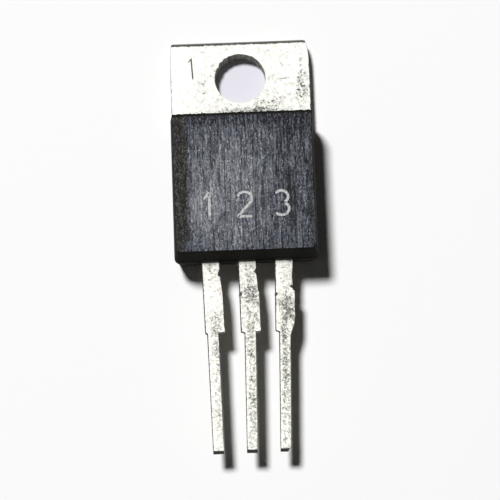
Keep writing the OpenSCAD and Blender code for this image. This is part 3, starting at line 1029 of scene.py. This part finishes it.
def addFlange():
    flange = hiddenPart("collector_flange", neckEnd + 0.02)
    plate = tabMesh()
    for points, width, depth in tabMarks:
        plate = combine(plate, strokeCutter(lineThrough(points), width, depth, flangeTop), "DIFFERENCE")
    flange = combine(flange, plate, "UNION")
    flange = combine(flange, outerLead("collector_flange"), "UNION")
    tins = [tabTin, leadTins["collector_flange"]]
    finishPiece(flange, "collectorFlange", "collector_flange", tins)
    for face in flange.data.polygons:
        face.material_index = 1 if face.center.y < (bodyLow.y + leads["bury"]) * mm else 0
    return flange


neckEnd = findNeckEnd()
collectorFlange = addFlange()


# The moulding: a rounded rectangle that narrows by its draft above and below the leads' land
body = {
    "sideDraft": 5.0,  # degrees
    "tabDraft": 3.5,
    "leadDraft": 10.0,
    "tabCorner": 0.12,  # mm
    "leadCorner": 0.36,
    "frontEdge": 0.10,
    "backEdge": 0.04,
    "straightStep": 0.07,
    "arcPoints": 7,
    "faceRings": 7,
    "wear": 0.012,
    "wearNoise": (1.9, 17),  # scale and seed
    "flash": 0.035,  # raggedness of the foot on the tab
    "flashNoise": (3.5, 31),
    "chips": 0.08,  # raggedness of the front edge over the tab
    "chipNoise": (4.0, 41),
    "line": 0.035,  # depth of the parting line
    "lineHeight": 0.06,
}


# Points round a rectangle with round corners: the core's corner or side, and the way out from it
def bodyColumns():
    width, length = bodyHigh.x - bodyLow.x, bodyHigh.y - bodyLow.y
    core, turn = [], []
    corners = [(1, 1), (-1, 1), (-1, -1), (1, -1)]
    for k, (x, y) in enumerate(corners):
        for angle in np.linspace(90 * k, 90 * (k + 1), body["arcPoints"]):
            core.append((x, y))
            turn.append(angle)
        nextX, nextY = corners[(k + 1) % 4]
        count = round((width if nextX != x else length) / body["straightStep"])
        for share in np.arange(1, count) / count:
            core.append((x + (nextX - x) * share, y + (nextY - y) * share))
            turn.append(90 * (k + 1))
    turn = np.radians(turn)
    return np.array(core), np.stack([np.cos(turn), np.sin(turn)], axis=1)


# The draft carries on below the tab's face, so the foot on the tab is where the mesh meets that face
def bodyRing(core, way, height, inset):
    away = max(height - leadHigh.z, leadLow.z - height, 0)
    half = bodyHigh.x - slope(body["sideDraft"]) * away - inset
    low = bodyLow.y + slope(body["leadDraft"]) * away + inset
    high = bodyHigh.y - (height - flangeTop) * slope(body["tabDraft"]) - inset
    reach = np.array([half, (high - low) / 2])
    centre = np.array([0, (high + low) / 2])
    corner = np.where(core[:, 1] > 0, body["tabCorner"], body["leadCorner"]) - inset * 0.3
    corner = np.clip(corner, 0.01, reach.min())[:, None]
    return centre + core * np.maximum(reach - corner, 0) + way * corner


def wall(low, high, count):
    return [(height, 0) for height in np.linspace(low, high, count)]


# Heights are closer together where the foot meets the tab and at the parting line
def bodyMesh():
    core, way = bodyColumns()
    top, base = bodyHigh.z, bodyLow.z
    front, back = body["frontEdge"], body["backEdge"]
    lineAt, lineHigh = leadHigh.z, body["lineHeight"]
    levels = []
    for angle in np.radians((0, 30, 60, 90)):
        levels.append((base + back * (1 - math.cos(angle)), back * (1 - math.sin(angle))))
    levels += wall(base + back, flangeTop - 0.2, 4)[1:] + wall(flangeTop - 0.1, flangeTop + 0.3, 6)
    levels += wall(flangeTop + 0.4, lineAt - 0.02, 6)
    levels += [(lineAt, body["line"]), (lineAt + lineHigh, body["line"]), (lineAt + lineHigh + 0.03, 0)]
    levels += wall(lineAt + 0.2, top - front, 8)
    for angle in np.radians((18, 36, 54, 72, 90)):
        levels.append((top - front * (1 - math.sin(angle)), front * (1 - math.cos(angle))))
    span = bodyHigh.x
    shrinks = [front + (span - front) * share for share in np.linspace(0, 1, body["faceRings"] + 1)[1:]]
    rows = [bodyRing(core, way, base, back + (span - back) * share) for share in (1, 0.7, 0.4, 0.1)]
    heights = [base] * len(rows)
    for height, inset in levels:
        ring = bodyRing(core, way, height, inset)
        worn = noises(ring[:, 0], ring[:, 1], height, *body["wearNoise"]) * body["wear"]
        foot = np.clip(way[:, 1], 0, 1) * (1 - smooth(abs(height - flangeTop - 0.1), 0.1, 0.3))
        ragged = noises(ring[:, 0], 0, height * 0.5, *body["flashNoise"]) * body["flash"] * foot
        atEdge = 1 - smooth(abs(height - top), 0.05, 0.3)
        chips = noises(ring[:, 0], 0, 0, *body["chipNoise"]) * body["chips"] * atEdge * (way[:, 1] > 0.5)
        rows.append(ring + way * (ragged + chips - np.abs(worn) * (0.3 + atEdge))[:, None])
        heights.append(height)
    for inset in shrinks:
        rows.append(bodyRing(core, way, top, inset))
        heights.append(top)
    rows = [np.column_stack([row, np.full(len(row), height)]) for row, height in zip(rows, heights)]
    for end, height in ((0, base), (-1, top)):
        rows[end][:] = (0, rows[end][:, 1].mean(), height)
    return ringMesh("moulding", np.array(rows))


# What the moulding hides: two tones, the scale of their grain, metallic and roughness
def plainMaterial(name, colour, other, scale, metallic, roughness):
    material, nodes, place = newMaterial(name)
    grain = nodes.noise(place, scale, 3.0, 0.6)
    links = {
        "Base Color": grain.step(0.35, 0.65).blend(colour, other),
        "Roughness": grain * 0.2 + roughness,
        "Normal": bump(nodes, grain, 0.01),
    }
    setShader(material, links, {"Metallic": metallic})
    return material


wire = plainMaterial("aluminiumWire", (0.80, 0.81, 0.82), (0.66, 0.67, 0.68), 12.0, 0.95, 0.25)
hiddenFinishes = {
    "die_solder": plainMaterial("softSolder", (0.50, 0.51, 0.52), (0.36, 0.37, 0.38), 3.0, 0.9, 0.4),
    "silicon_die": plainMaterial("silicon", (0.20, 0.21, 0.25), (0.14, 0.15, 0.18), 1.5, 0.4, 0.15),
    "base_wire": wire,
    "emitter_wire": wire,
    "junction_coating": plainMaterial("siliconeGel", (0.86, 0.86, 0.84), (0.74, 0.74, 0.72), 2.0, 0.0, 0.35),
}
for node, material in hiddenFinishes.items():
    for slot in frame["nodes"][node].material_slots:
        slot.material = material
print("hidden pieces: finished", len(hiddenFinishes))


# Plain pin numbers, scribed over the leads: strokes in shares of a figure's height, from its foot
def arcLine(centre, radius, start, end, squash):
    turns = np.radians(np.linspace(start, end, max(4, round(abs(end - start) / 15))))
    return [(centre[0] + radius * squash * math.cos(a), centre[1] + radius * math.sin(a)) for a in turns]


figures = {
    "height": 1.75,  # mm
    "foot": -10.95,
    "width": 0.19,
    "depth": 0.015,
    "margin": 0.2,  # round the figures, where the light colour may lie
    "floorAbove": 0.006,
    "floorBelow": 0.004,
    "strokes": [
        [(-0.18, 0.74), (0.06, 1.0), (0.06, 0.0)],
        arcLine((0, 0.73), 0.27, 165, -30, 1.05) + [(-0.29, 0.0), (0.30, 0.0)],
        arcLine((0, 0.75), 0.25, 150, -90, 1.05) + arcLine((0, 0.26), 0.26, 75, -150, 1.1),
    ],
}


def addBody():
    moulding = bodyMesh()
    clearance = cube("clearance", (-wide, neckEnd, under), (wide, wide, flangeTop))
    moulding = combine(moulding, clearance, "DIFFERENCE")
    for piece in (collectorFlange, baseLead, emitterLead):
        mesh = piece.data.copy()
        mesh.transform(Matrix.Scale(1 / mm, 4))
        moulding = combine(moulding, newObject("cutter", mesh), "DIFFERENCE")
    for node in hiddenFinishes:
        moulding = combine(moulding, cadCopy(node), "DIFFERENCE")
    size = figures["height"]
    for k, stroke in enumerate(figures["strokes"]):
        middle = (k - 1) * leads["pitch"]
        line = lineThrough([(middle + x * size, figures["foot"] + y * size) for x, y in stroke])
        cutter = strokeCutter(line, figures["width"], figures["depth"], bodyHigh.z, flat=True)
        moulding = combine(moulding, cutter, "DIFFERENCE")
    finishPiece(moulding, "mouldedBody", "moulded_body", [mouldingCompound])


mouldingCompound = compoundMaterial()
addBody()


bpy.context.scene.view_settings.view_transform = "Standard"
